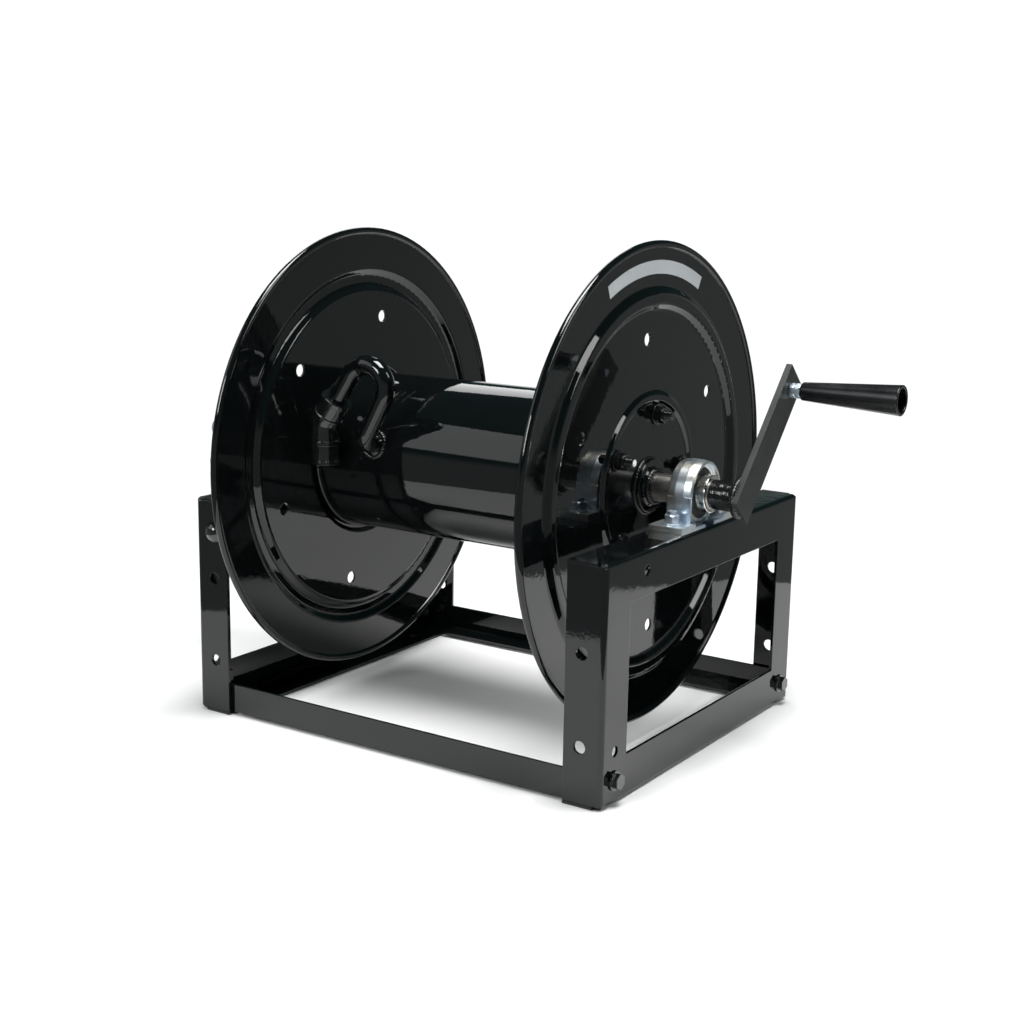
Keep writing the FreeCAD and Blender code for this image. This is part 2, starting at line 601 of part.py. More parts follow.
def route(points, radii):
    """Straight runs joined by tangent arcs through a list of points, as one wire."""
    edges = []
    start = points[0]
    for before, corner, after, radius in zip(points, points[1:], points[2:], radii):
        coming = (corner - before).normalize()
        leaving = (after - corner).normalize()
        half = coming.getAngle(leaving) / 2
        setback = radius * math.tan(half)
        enter = corner - coming * setback
        leave = corner + leaving * setback
        inward = (leaving - coming).normalize()
        middle = corner + inward * (radius / math.cos(half) - radius)
        edges += [Part.LineSegment(start, enter).toShape(), Part.Arc(enter, middle, leave).toShape()]
        start = leave
    edges.append(Part.LineSegment(start, points[-1]).toShape())
    return Part.Wire(edges)


def tube(points, radii, radius):
    """A solid round bar along a route."""
    wire = route(points, radii)
    heading = points[1] - points[0]
    circle = Part.Wire(Part.Circle(points[0], heading, radius).toShape())
    return wire.makePipeShell([circle], True, False)


def stub_along(start, heading, radius, length):
    """A short cylinder from a point along any direction."""
    return Part.makeCylinder(radius, length, start, heading)


def made(label, shape):
    """A node whose shape is set by Part's own functions."""
    thing = doc.addObject("Part::Feature", label)
    thing.Shape = shape
    return keep(label, thing)


def from_axis(x, y, z):
    """A point counted from the reel's axis."""
    return Vector(x, y, size("axis_height") + z)


along_x = Vector(1, 0, 0)
pipe, bore, way = size("pipe_radius"), size("pipe_bore"), size("axle_bore")
station, drum_radius = size("gooseneck_station"), size("drum_radius")
lean = math.radians(size("gooseneck_angle"))
out = Vector(0, math.cos(lean), math.sin(lean))
hub_point = from_axis(station, 0, 0)
wall = hub_point + out * drum_radius

inner_end = -size("axle_inner_end")
axle_start = -size("axle_end")
axle = stub_along(from_axis(axle_start, 0, 0), along_x, size("shaft_radius"), inner_end - axle_start)
made("axle_pipe", axle.cut(stub_along(from_axis(axle_start - 10, 0, 0), along_x, way, 400)))

seat_start = size("feed_seat")
elbow_body = stub_along(from_axis(inner_end + 0.1, 0, 0), along_x, size("feed_elbow_radius"), 34)
elbow_neck = stub_along(hub_point, out, size("feed_neck_radius"), seat_start + 8)
elbow_way = stub_along(from_axis(inner_end - 1, 0, 0), along_x, way, 20)
elbow = elbow_body.fuse(elbow_neck).cut([elbow_way, stub_along(hub_point, out, way, 40)])
elbow = elbow.cut(stub_along(hub_point + out * seat_start, out, pipe + 0.05, 20))
made("feed_elbow", elbow.removeSplitter())
riser = stub_along(hub_point + out * (seat_start + 0.1), out, pipe, drum_radius - 2 - seat_start - 0.1)
made("feed_pipe", riser.cut(stub_along(hub_point, out, bore, 100)))

down = Vector(0, 0, -1)
port_end = from_axis(size("outlet_station"), size("outlet_depth"), size("outlet_level"))
knee = port_end - down * size("outlet_drop")
arch_level = 113
arch_depth = size("outlet_depth") + 2
arch_right = from_axis(station + 48, arch_depth, arch_level)
arch_left = from_axis(station - 8, arch_depth, arch_level)
drop = (knee - arch_left).normalize()
goose_points = [wall - out * 1.9, wall + out * 20, arch_right, arch_left, knee - drop * 13]
goose_radii = (16, size("gooseneck_bend"), size("gooseneck_fall_bend"))
weld = Part.makeCone(pipe + 4.5, pipe + 0.4, 7, wall - out * 1.5, out)
outside = stub_along(from_axis(station - 100, 0, 0), along_x, drum_radius + 0.1, 200)
bar = tube(goose_points, goose_radii, pipe)
made("gooseneck_pipe", bar.fuse(weld.cut(outside)).cut(tube(goose_points, goose_radii, bore)))

fitting_radius, collar = size("outlet_radius"), size("outlet_radius") + 1.9
socket = size("outlet_socket")
mouth = size("port_length")
socket_top = knee - drop * socket
fitting = stub_along(socket_top, drop, fitting_radius + 0.4, socket)
fitting = fitting.fuse([stub_along(socket_top, drop, collar, 5),
                        stub_along(knee - drop * 11, drop, collar, 3),
                        Part.makeSphere(fitting_radius + 0.3, knee),
                        stub_along(knee, down, fitting_radius, size("outlet_drop")),
                        stub_along(knee + down * 20, down, collar + 0.2, 5),
                        stub_along(port_end - down * 4, down, collar - 0.6, 4)])
fitting = fitting.cut([stub_along(socket_top - drop * 5, drop, pipe + 0.05, socket - 7),
                       stub_along(socket_top, drop, bore + 0.4, socket), Part.makeSphere(bore + 0.6, knee),
                       stub_along(knee, down, bore + 0.4, 30),
                       stub_along(port_end - down * mouth, down, size("port_radius"), mouth + 5)])
made("outlet_elbow", fitting.removeSplitter())
doc.recompute()
drum_hole = doc.addObject("Part::Feature", "DrumHole")
drum_hole.Shape = stub_along(wall - out * 30, out, pipe + 0.3, 60)
keep("drum_barrel", cut(drum, drum_hole))


# ---------------------------------------------------------------- inlet swivel

def left_turned(profile, rounds=()):
    """A body turned about the reel's axis, its stations counted towards the swivel side."""
    return turned([(f"-({x})", r) for x, r in profile], "0", rounds)


def inlet_rod(low, radius, length):
    """An upright cylinder of the inlet, its low end counted down from the reel's axis."""
    return rod("z", ("-[inlet_station]", "0", f"[axis_height] - ({low})"), radius, length)


stem_root = "[swivel_start] - 14"
stem_flats = hexagon("x", ("-[swivel_start] + 3", "0", "[axis_height]"), "32", "11.9")
stem_body = left_turned([("[axle_end] - 16", "0"), ("[axle_end] - 16", "[axle_bore] - 0.05"),
                         (stem_root, "[axle_bore] - 0.05"), (stem_root, "[stem_radius]"),
                         ("[stem_end]", "[stem_radius]"), ("[stem_end]", "0")])
stem_way = rod("x", ("-[stem_end] - 5", "0", "[axis_height]"), "5.5", "150")
keep("swivel_stem", cut(fuse(stem_flats, stem_body), stem_way))

barrel_end = "[swivel_start] + [swivel_barrel]"
cavity_end = "[stem_end] + 0.8"
barrel = left_turned([("[swivel_start]", "[swivel_bore]"), ("[swivel_start]", "[swivel_radius]"),
                      (barrel_end, "[swivel_radius]"), (f"{barrel_end} + 2", "[knuckle_radius]"),
                      ("[inlet_station]", "[knuckle_radius]"), ("[inlet_station]", "0"), (cavity_end, "0"),
                      (cavity_end, "[swivel_bore]")], ((1.2, (1,)),))
knuckle = doc.addObject("Part::Sphere", "Knuckle")
bind(knuckle, Radius="[knuckle_radius]")
put(knuckle, "-[inlet_station]", "0", "[axis_height]")
neck = inlet_rod("[neck_drop]", "[neck_radius]", "[neck_drop]")
cross_way = rod("x", ("-[inlet_station]", "0", "[axis_height]"), "[stem_radius] + 0.6",
                "[inlet_station] - [stem_end] + 4")
spigot_seat = inlet_rod("[neck_drop] + 1", "11.05", "21")
keep("swivel_body", cut(fuse(barrel, knuckle, neck), inlet_rod("[neck_drop] + 1", "9", "[neck_drop] + 1"),
                        cross_way, spigot_seat))
bush_in, bush_out = "[stem_radius] + 0.04", "[swivel_bore] - 0.02"
keep("swivel_bush", left_turned([("[swivel_start] + 3", bush_in), ("[swivel_start] + 3", bush_out),
                                 ("[swivel_start] + 24", bush_out), ("[swivel_start] + 24", bush_in)]))
seal_stations = [-size("swivel_start") - step for step in (30, 36)]
rings = [Part.makeTorus(size("stem_radius") + 1.5, 1.4, from_axis(x, 0, 0), along_x) for x in seal_stations]
group("swivel_seals", rings)
clip_in = "[stem_radius] + 0.5"
keep("swivel_snap_ring", left_turned([("[swivel_start] + 0.8", clip_in), ("[swivel_start] + 0.8", bush_out),
                                      ("[swivel_start] + 2.4", bush_out), ("[swivel_start] + 2.4", clip_in)]))

inlet_parts = [inlet_rod("45", "11", "25"), inlet_rod("45", "[collar_radius]", "6"),
               inlet_rod("57.5", "[inlet_radius]", "13"), inlet_rod("63", "[collar_radius]", "6"),
               inlet_rod("82", "[inlet_lower_radius]", "20"),
               inlet_rod("[inlet_drop]", "[collar_radius]", "7")]
inlet_way = inlet_rod("[inlet_drop] + 2", "7", "80")
inlet_mouth = inlet_rod("[inlet_drop] + 2", "[port_radius]", "[port_length] + 2")
keep("swivel_inlet", cut(fuse(*inlet_parts), inlet_way, inlet_mouth))


# ---------------------------------------------------------------- crank

crank = doc.addObject("PartDesign::Body", "Body")
outline = sketch_on(crank, "YZ_Plane")
arm_end = "[crank_radius] + [crank_tip]"
polygon(outline, [("-[crank_tail]", "-[crank_width] / 2"), (arm_end, "-[crank_width] / 2"),
                  (arm_end, "[crank_width] / 2"), ("-[crank_tail]", "[crank_width] / 2")])
pad = crank.newObject("PartDesign::Pad", "Pad")
pad.Profile = outline
bind(pad, Length="[crank_gauge]")
doc.recompute()
crank.Placement = Placement(Vector(), Rotation(along_x, size("crank_angle")))
put(crank, "[crank_inner_face]", "0", "[axis_height]")
grip_y = "[crank_radius] * cos([crank_angle] * 1 deg)"
grip_z = "[axis_height] + [crank_radius] * sin([crank_angle] * 1 deg)"
weld_bead = doc.addObject("Part::Cone", "Weld")
bind(weld_bead, Radius1="[shaft_radius] + 1", Radius2="[shaft_radius] + 6.5", Height="6")
weld_bead.Placement = Placement(Vector(), AXES["x"])
put(weld_bead, "[crank_inner_face] - 6", "0", "[axis_height]")
shaft_seat = rod("x", ("[crank_inner_face] - 10", "0", "[axis_height]"), "[shaft_radius] + 0.01", "10")
arm_hole = rod("x", ("[crank_inner_face] - 5", grip_y, grip_z), "[handle_bolt_radius] + 0.25", "20")
keep("crank_arm", cut(fuse(crank, weld_bead), shaft_seat, arm_hole))

outer_face = "[crank_inner_face] + [crank_gauge]"
handle_nut = hex_nut("x", "14.3", "5.9", "[handle_bolt_radius] + 0.02")
nut_stations = ("0.05", "6.3")
copies("handle_nuts", handle_nut, [at(f"{outer_face} + {gap}", grip_y, grip_z) for gap in nut_stations])

nut_stack = "12.2"
grip_start = f"{outer_face} + {nut_stack} + [handle_gap]"
cup_floor = "[handle_length] - [handle_cup]"
bolt_tip, shank_start = "22", "20"
bolt_profile = threaded_profile("0", "8", "30", "[handle_bolt_radius]")
thread = put(turned([(f"-({x}) + {bolt_tip}", r) for x, r in bolt_profile]), outer_face, grip_y, grip_z)
shank = rod("x", (f"{outer_face} + {shank_start}", grip_y, grip_z), "[handle_bolt_radius]",
            f"{nut_stack} + [handle_gap] + {cup_floor} - {shank_start} + 0.6")
bolt_head = hexagon("x", (f"{grip_start} + {cup_floor} + 0.4", grip_y, grip_z), "14.3", "6.2")
keep("handle_bolt", fuse(thread, shank, bolt_head))

grip_bore = "[handle_bolt_radius] + 0.08"
grip = turned([("0", grip_bore), ("0", "[handle_small_radius]"),
               ("[handle_length] - 9", "[handle_large_radius] - 0.6"),
               ("[handle_length]", "[handle_large_radius]"), ("[handle_length]", "12.6"),
               (cup_floor, "11.6"), (cup_floor, grip_bore)],
              "0", ((1.6, (1,)), (1.1, (3, 4))))
keep("handle_grip", put(grip, grip_start, grip_y, grip_z))


# ---------------------------------------------------------------- brake

pivot_x = "-[flange_hole_across]"
lever_x = f"{pivot_x} - [brake_width] / 2"
lever_y = "-[brake_plane]"
lever_foot = "[brake_level] - 84"
lever_top = rod("y", (pivot_x, lever_y, "[brake_level]"), "[brake_width] / 2", "[brake_gauge]")
lever_tip = rod("y", (pivot_x, lever_y, lever_foot), "[brake_width] / 2", "[brake_gauge]")
lever_bar = box((lever_x, lever_y, lever_foot), ("[brake_width]", "[brake_gauge]", "84"))
ear = box((pivot_x, lever_y, "[brake_pad_level] - 10"), ("29", "[brake_gauge]", "20"))
ear_face = box((f"{pivot_x} + 26", lever_y, "[brake_pad_level] - 10"), ("3", "14", "20"))
lever_hole = rod("y", (pivot_x, f"{lever_y} - 2", "[brake_level]"), "[brake_bolt_radius] + 0.06", "10")
keep("brake_lever", cut(fuse(lever_top, lever_tip, lever_bar, ear, ear_face), lever_hole))
keep("brake_pad", box((f"{pivot_x} + 29.05", f"{lever_y} - 1", "[brake_pad_level] - 9"), ("5.4", "14", "18")))

dome = doc.addObject("Part::Sphere", "Dome")
bind(dome, Radius="13")
put(dome, pivot_x, "-[frame_half_depth] + 6.2", "[brake_level]")
slab = box((f"{pivot_x} - 15", "-[frame_half_depth] - 7", "[brake_level] - 15"), ("30", "6.9", "30"))
pivot = rod("y", (pivot_x, "-[frame_half_depth] - 1", "[brake_level]"), "[brake_bolt_radius]", "22")
keep("brake_bolt", fuse(common(dome, slab), pivot))
brake_washer = cut(rod("y", ("0", "0.1", "0"), "10", "1.8"),
                   rod("y", ("0", "-1", "0"), "[brake_bolt_radius] + 0.2", "5"))
brake_spot = at(pivot_x, f"{lever_y} + [brake_gauge]", "[brake_level]")
copies("brake_washer", brake_washer, [brake_spot])
copies("brake_nut", hex_nut("y", "14.3", "7", "[brake_bolt_radius] + 0.02", "2"), [brake_spot])


# ---------------------------------------------------------------- fasteners of the base and the bearings

def both_sides(x, y, z):
    """Placements at the four corners of the base; the swivel side's are turned to face outwards."""
    return [at(f"{side} * ({x})", f"{front} * ({y})", z, None if side > 0 else Rotation(Vector(0, 0, 1), 180))
            for side, front in corners]


base_bolt = fuse(hexagon("x", ("0.2", "0", "0"), "14.3", "7.4"), rod("x", ("0.1", "0", "0"), "10", "1.7"),
                 rod("x", ("-18", "0", "0"), "[base_bolt_radius]", "19"))
copies("base_bolts", base_bolt, both_sides("[frame_half_width]", "[base_bolt_depth]", "[base_bolt_level]"))
tab_face = "[frame_half_width] - 2 * [sheet_gauge] - [rail_clearance]"
nut_bore = "[base_bolt_radius] + 0.02"
nut_flange = cut(rod("x", ("-1.7", "0", "0"), "10", "1.6"), rod("x", ("-9", "0", "0"), nut_bore, "10"))
base_nut = fuse(hex_nut("x", "14.3", "8", nut_bore, "-8.1"), nut_flange)
copies("base_nuts", base_nut, both_sides(tab_face, "[base_bolt_depth]", "[base_bolt_level]"))
screw = rod("z", ("0", "0", "[shaft_radius] + 0.1"), "2.55", "5.2")
screw_station = "[bearing_across] + [inner_ring_long] - 5.5"
screw_spots = [at(f"{side} * ({screw_station})", "0", "[axis_height]") for side in (-1, 1)]
copies("bearing_set_screws", screw, screw_spots)


# ---------------------------------------------------------------- check and write

doc.recompute()
for thing in doc.Objects:
    if "Invalid" in thing.State or "Error" in thing.State:
        raise RuntimeError(f"{thing.Label} failed: {thing.State}")
os.makedirs("parts", exist_ok=True)
for label, thing in NODES.items():
    shape = thing.Shape
    if shape.isNull() or not shape.isValid() or not shape.Solids:
        raise RuntimeError(f"{label} has no valid solid")
    if label not in GROUPS and len(shape.Solids) != 1:
        raise RuntimeError(f"{label} is {len(shape.Solids)} solids where it should be one")
    shape.exportStep(f"parts/{label}.step")
print(f"{len(NODES)} sub-parts written")
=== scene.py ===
import json
import math

import bmesh
import bpy
from mathutils import Matrix, Vector, noise

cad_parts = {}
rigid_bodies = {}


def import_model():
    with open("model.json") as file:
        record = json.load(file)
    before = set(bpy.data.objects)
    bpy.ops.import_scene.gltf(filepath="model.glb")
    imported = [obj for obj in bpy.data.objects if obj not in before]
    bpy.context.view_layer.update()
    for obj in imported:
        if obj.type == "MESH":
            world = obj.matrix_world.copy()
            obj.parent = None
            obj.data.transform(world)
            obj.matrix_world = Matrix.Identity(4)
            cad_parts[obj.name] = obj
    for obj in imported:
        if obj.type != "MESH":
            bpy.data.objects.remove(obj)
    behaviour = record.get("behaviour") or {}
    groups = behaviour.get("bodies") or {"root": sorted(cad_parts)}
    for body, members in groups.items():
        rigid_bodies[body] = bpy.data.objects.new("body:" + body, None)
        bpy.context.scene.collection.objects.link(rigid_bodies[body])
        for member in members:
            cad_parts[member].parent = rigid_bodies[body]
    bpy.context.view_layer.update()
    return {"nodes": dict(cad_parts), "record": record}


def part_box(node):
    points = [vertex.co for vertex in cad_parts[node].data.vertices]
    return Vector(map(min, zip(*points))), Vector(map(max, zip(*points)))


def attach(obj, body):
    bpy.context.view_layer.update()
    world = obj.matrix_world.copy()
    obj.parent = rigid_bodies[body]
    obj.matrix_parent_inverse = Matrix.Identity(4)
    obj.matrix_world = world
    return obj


for leftover in list(bpy.data.objects):
    bpy.data.objects.remove(leftover)

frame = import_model()


# ---------------------------------------------------------------- places taken from the frame

def corners(node):
    """The lowest and the highest corner of a node's box."""
    return [Vector(corner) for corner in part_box(node)]


def round_radius(node):
    """The radius of a node that is round about the X axis."""
    low, high = corners(node)
    return (high.z - low.z) / 2


DRUM_LOW, DRUM_HIGH = corners("drum_barrel")
AXIS_HEIGHT = ((DRUM_LOW + DRUM_HIGH) / 2).z
DISC_RADIUS = round_radius("disc_right")
DRUM_RADIUS = round_radius("drum_barrel")
SHAFT_RADIUS = round_radius("crank_shaft")

# The hub plate lies on the right disc's web, so its inner face is the web's outer face.
WEB_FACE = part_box("hub_plate_right")[0][0]

# The gooseneck leaves the drum here, leaning this far round from +Y.
GOOSENECK_STATION = -0.112
GOOSENECK_LEAN = math.radians(165)
GOOSENECK_FOOT_RADIUS = 0.0142

# The outer ring of a disc's web: where it starts, its rise there, and its slope.
FLANGE_START = 0.207
FLANGE_RISE = 0.0010
FLANGE_SLOPE = 0.002 / 0.042


# ---------------------------------------------------------------- node tools

# The mix node has an A and a B for each kind of data, so its colour sockets go by number.
MIX_FACTOR, MIX_FIRST, MIX_SECOND, MIX_RESULT = 0, 6, 7, 2


class Graph:
    """A short way to write one procedural material."""

    def __init__(self, name):
        self.material = bpy.data.materials.new(name)
        self.material.use_nodes = True
        self.nodes = self.material.node_tree.nodes
        self.links = self.material.node_tree.links
        self.shader = self.nodes["Principled BSDF"]
        self.place = self.add("ShaderNodeTexCoord").outputs["Object"]

    def add(self, kind, **settings):
        node = self.nodes.new(kind)
        for key, setting in settings.items():
            setattr(node, key, setting)
        return node

    def link(self, source, target):
        self.links.new(source, target)

    def stretched(self, scale):
        """The object's own coordinates, scaled along each axis."""
        mapping = self.add("ShaderNodeMapping")
        mapping.inputs["Scale"].default_value = scale
        self.link(self.place, mapping.inputs["Vector"])
        return mapping.outputs["Vector"]

    def noise(self, scale, detail=3.0, roughness=0.5, place=None):
        node = self.add("ShaderNodeTexNoise")
        node.inputs["Scale"].default_value = scale
        node.inputs["Detail"].default_value = detail
        node.inputs["Roughness"].default_value = roughness
        self.link(place or self.place, node.inputs["Vector"])
        return node.outputs["Fac"]

    def ramp(self, source, stops):
        """A colour ramp: stops are (position, grey or colour)."""
        node = self.add("ShaderNodeValToRGB")
        elements = node.color_ramp.elements
        while len(elements) < len(stops):
            elements.new(0.5)
        for element, (position, colour) in zip(elements, stops):
            channels = (colour,) * 3 if isinstance(colour, float) else colour
            element.position = position
            element.color = (*channels, 1.0)
        self.link(source, node.inputs["Fac"])
        return node.outputs["Color"]

    def spread(self, source, low, high):
        """Map a noise factor linearly onto low..high; noise lies mostly between 0.3 and 0.7."""
        node = self.add("ShaderNodeMapRange")
        node.inputs["From Min"].default_value = 0.3
        node.inputs["From Max"].default_value = 0.7
        node.inputs["To Min"].default_value = low
        node.inputs["To Max"].default_value = high
        self.link(source, node.inputs["Value"])
        return node.outputs["Result"]

    def mix(self, factor, first, second):
        """Mix two colours, each a plain colour or an output."""
        node = self.add("ShaderNodeMix", data_type="RGBA")
        for index, item in ((MIX_FIRST, first), (MIX_SECOND, second)):
            if isinstance(item, tuple):
                node.inputs[index].default_value = (*item, 1.0)
            else:
                self.link(item, node.inputs[index])
        self.link(factor, node.inputs[MIX_FACTOR])
        return node.outputs[MIX_RESULT]

    def bump(self, height, distance, strength=1.0, normal=None):
        node = self.add("ShaderNodeBump")
        node.inputs["Distance"].default_value = distance
        node.inputs["Strength"].default_value = strength
        self.link(height, node.inputs["Height"])
        if normal is not None:
            self.link(normal, node.inputs["Normal"])
        return node.outputs["Normal"]

    def soft_edges(self, radius):
        """A normal that rounds the sheet's sharp edges, so that they catch the light."""
        node = self.add("ShaderNodeBevel", samples=4)
        node.inputs["Radius"].default_value = radius
        return node.outputs["Normal"]

    def finish(self, colour=None, roughness=None, normal=None, **constants):
        """Link the outputs to the shader and set its constants, such as Coat_Weight."""
        for source, name in ((colour, "Base Color"), (roughness, "Roughness"), (normal, "Normal")):
            if source is not None:
                self.link(source, self.shader.inputs[name])
        for key, number in constants.items():
            self.shader.inputs[key.replace("_", " ")].default_value = number
        return self.material


# ---------------------------------------------------------------- materials

def black_powder_coat():
    """Mirror-gloss black powder coat with the fine orange peel that makes its reflections ragged."""
    g = Graph("black_powder_coat")
    dust = g.ramp(g.noise(900, 2), [(0.0, (0.0022, 0.0028, 0.0030)), (0.78, (0.0026, 0.0033, 0.0035)),
                                    (0.86, (0.016, 0.017, 0.016))])
    cloud = g.mix(g.spread(g.noise(9, 4), 0.0, 0.5), dust, (0.0040, 0.0052, 0.0055))
    gloss = g.spread(g.noise(14, 6, 0.6), 0.020, 0.055)
    peel = g.bump(g.noise(380, 1.5), 0.000016, 1.0, g.soft_edges(0.0008))
    normal = g.bump(g.noise(55, 2), 0.00007, 1.0, peel)
    return g.finish(cloud, gloss, normal, IOR=1.5)


def black_fastener():
    """Black painted hardware: glossy, with thick paint rounding the corners and a little wear."""
    g = Graph("black_fastener")
    wear = g.ramp(g.noise(260, 5, 0.7), [(0.0, (0.0035, 0.0040, 0.0042)), (0.70, (0.006, 0.007, 0.007)),
                                         (0.80, (0.05, 0.05, 0.05))])
    gloss = g.spread(g.noise(180, 4), 0.06, 0.20)
    normal = g.bump(g.noise(420, 3), 0.00006, 1.0, g.soft_edges(0.0009))
    return g.finish(wear, gloss, normal, IOR=1.55, Coat_Weight=0.5, Coat_Roughness=0.05)


def painted_casting():
    """Thick black gloss paint over a rough iron casting: its lumps break the lights into sparkles."""
    g = Graph("painted_casting")
    tone = g.ramp(g.noise(300, 4), [(0.3, (0.003, 0.004, 0.004)), (0.8, (0.009, 0.010, 0.010))])
    pits = g.bump(g.noise(620, 3), 0.00005, 1.0, g.soft_edges(0.0012))
    normal = g.bump(g.noise(170, 2), 0.00045, 1.0, pits)
    return g.finish(tone, g.spread(g.noise(120, 4), 0.04, 0.12), normal, IOR=1.6)


def zinc_plate():
    """Bright zinc with soft blue, violet and straw clouds, and the fine haze of its passivation."""
    g = Graph("zinc_plate")
    cloud = g.noise(26, 3, 0.5)
    tint = g.ramp(cloud, [(0.30, (0.50, 0.60, 0.76)), (0.44, (0.66, 0.76, 0.84)),
                          (0.56, (0.80, 0.84, 0.84)), (0.68, (0.78, 0.74, 0.64))])
    hazy = g.mix(g.spread(g.noise(160, 4, 0.6), 0.0, 0.35), tint, (0.86, 0.89, 0.91))
    gloss = g.spread(g.noise(70, 4, 0.6), 0.28, 0.40)
    normal = g.bump(g.noise(300, 3), 0.000006, 1.0, g.soft_edges(0.0007))
    return g.finish(hazy, gloss, normal, Metallic=1.0)


def bare_steel():
    """A turned steel bar: fine rings round the bar, with light brown stains."""
    g = Graph("bare_steel")
    rings = g.noise(1.0, 3, 0.7, g.stretched((2600, 14, 14)))
    stain = g.ramp(g.noise(55, 5, 0.65), [(0.30, (0.38, 0.36, 0.34)), (0.55, (0.52, 0.50, 0.47)),
                                          (0.78, (0.30, 0.25, 0.20))])
    normal = g.bump(rings, 0.00001, 1.0, g.soft_edges(0.0005))
    return g.finish(stain, g.spread(rings, 0.24, 0.40), normal, Metallic=1.0)


def bearing_steel():
    """Ground bearing steel."""
    g = Graph("bearing_steel")
    rings = g.noise(1.0, 2, 0.6, g.stretched((3800, 20, 20)))
    tone = g.ramp(g.noise(50, 3), [(0.3, (0.58, 0.57, 0.55)), (0.7, (0.74, 0.73, 0.71))])
    normal = g.bump(rings, 0.000004, 1.0, g.soft_edges(0.0004))
    return g.finish(tone, g.spread(rings, 0.12, 0.20), normal, Metallic=1.0)


def swivel_steel():
    """Zinc plated turned steel fittings, duller than the bearings' plating."""
    g = Graph("swivel_steel")
    tone = g.ramp(g.noise(60, 5, 0.65), [(0.3, (0.50, 0.52, 0.53)), (0.6, (0.68, 0.69, 0.69)),
                                         (0.8, (0.58, 0.54, 0.46))])
    rings = g.noise(1.0, 3, 0.7, g.stretched((60, 60, 1800)))
    normal = g.bump(rings, 0.000012, 1.0, g.soft_edges(0.0006))
    return g.finish(tone, g.spread(g.noise(120, 4), 0.24, 0.38), normal, Metallic=1.0)


def seal_rubber():
    """Moulded black rubber."""
    g = Graph("seal_rubber")
    tone = g.ramp(g.noise(220, 4), [(0.3, (0.014, 0.014, 0.014)), (0.8, (0.034, 0.033, 0.032))])
    return g.finish(tone, g.spread(g.noise(500, 3), 0.48, 0.70), g.bump(g.noise(1400, 2), 0.00004), IOR=1.5)


def bush_bronze():
    """Turned bronze."""
    g = Graph("bush_bronze")
    tone = g.ramp(g.noise(120, 4), [(0.3, (0.50, 0.32, 0.14)), (0.75, (0.70, 0.48, 0.24))])
    rings = g.noise(1.0, 3, 0.7, g.stretched((2400, 14, 14)))
    return g.finish(tone, g.spread(rings, 0.20, 0.38), g.bump(rings, 0.00001), Metallic=1.0)


def crank_paint():
    """The crank's flat bar: a satin charcoal coat over rolled steel, with rubbed patches."""
    g = Graph("crank_paint")
    tone = g.ramp(g.noise(34, 5, 0.6), [(0.3, (0.014, 0.017, 0.015)), (0.7, (0.020, 0.024, 0.021))])
    rubbed = g.mix(g.ramp(g.noise(260, 6, 0.75), [(0.70, 0.0), (0.82, 0.22)]), tone, (0.075, 0.075, 0.07))
    normal = g.bump(g.noise(520, 3), 0.000014, 1.0, g.soft_edges(0.0008))
    return g.finish(rubbed, g.spread(g.noise(45, 4), 0.34, 0.46), normal, IOR=1.5)


def grip_plastic():
    """The grip's smooth black plastic, with the faint draw lines of its mould."""
    g = Graph("grip_plastic")
    tone = g.ramp(g.noise(60, 4), [(0.3, (0.005, 0.005, 0.006)), (0.8, (0.011, 0.011, 0.012))])
    lines = g.noise(1.0, 3, 0.6, g.stretched((10, 420, 420)))
    normal = g.bump(lines, 0.000012, 1.0, g.soft_edges(0.0007))
    return g.finish(tone, g.spread(g.noise(40, 3), 0.18, 0.26), normal, IOR=1.49)


def weld_metal():
    """A painted weld bead: as black and glossy as the sheet, with the bead's own roughness."""
    g = Graph("weld_metal")
    tone = g.ramp(g.noise(500, 5, 0.7), [(0.3, (0.004, 0.005, 0.005)), (0.8, (0.014, 0.014, 0.013))])
    return g.finish(tone, g.spread(g.noise(400, 4), 0.05, 0.16), g.bump(g.noise(700, 3), 0.00008), IOR=1.5)


def silver_vinyl():
    """The plain decal's pale silver vinyl."""
    g = Graph("silver_vinyl")
    tone = g.ramp(g.noise(18, 3), [(0.3, (0.60, 0.63, 0.65)), (0.7, (0.68, 0.71, 0.73))])
    return g.finish(tone, g.spread(g.noise(80, 4), 0.30, 0.38), g.bump(g.noise(1200, 2), 0.000002), IOR=1.5)


# The record's material slots, by name.
SLOT_MATERIALS = {
    "black_powder_coat": black_powder_coat(),
    "black_fastener": black_fastener(),
    "zinc_plate": zinc_plate(),
    "bare_steel": bare_steel(),
    "bearing_steel": bearing_steel(),
    "swivel_steel": swivel_steel(),
    "seal_rubber": seal_rubber(),
    "bush_bronze": bush_bronze(),
    "crank_paint": crank_paint(),
    "grip_plastic": grip_plastic(),
}
WELD = weld_metal()
VINYL = silver_vinyl()
CASTING = painted_casting()

for entry in frame["record"]["subparts"]:
    is_casting = entry["node"] == "outlet_elbow"
    mesh = frame["nodes"][entry["node"]].data
    mesh.materials.clear()
    mesh.materials.append(CASTING if is_casting else SLOT_MATERIALS[entry["material_slot"]])


# ---------------------------------------------------------------- pieces added to the frame

def new_piece(name, shape, material, body):
    """Turn a bmesh into a piece that rides on one of the part's bodies."""
    mesh = bpy.data.meshes.new(name)
    bmesh.ops.recalc_face_normals(shape, faces=shape.faces)
    shape.to_mesh(mesh)
    shape.free()
    for face in mesh.polygons:
        face.use_smooth = True
    mesh.materials.append(material)
    piece = bpy.data.objects.new(name, mesh)
    bpy.context.scene.collection.objects.link(piece)
    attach(piece, body)
    return piece


def join_rows(shape, rows):
    """Faces between each closed row of vertices and the next."""
    for near, far in zip(rows, rows[1:]):
        for side in range(len(near)):
            after = (side + 1) % len(near)
            shape.faces.new((near[side], near[after], far[after], far[side]))


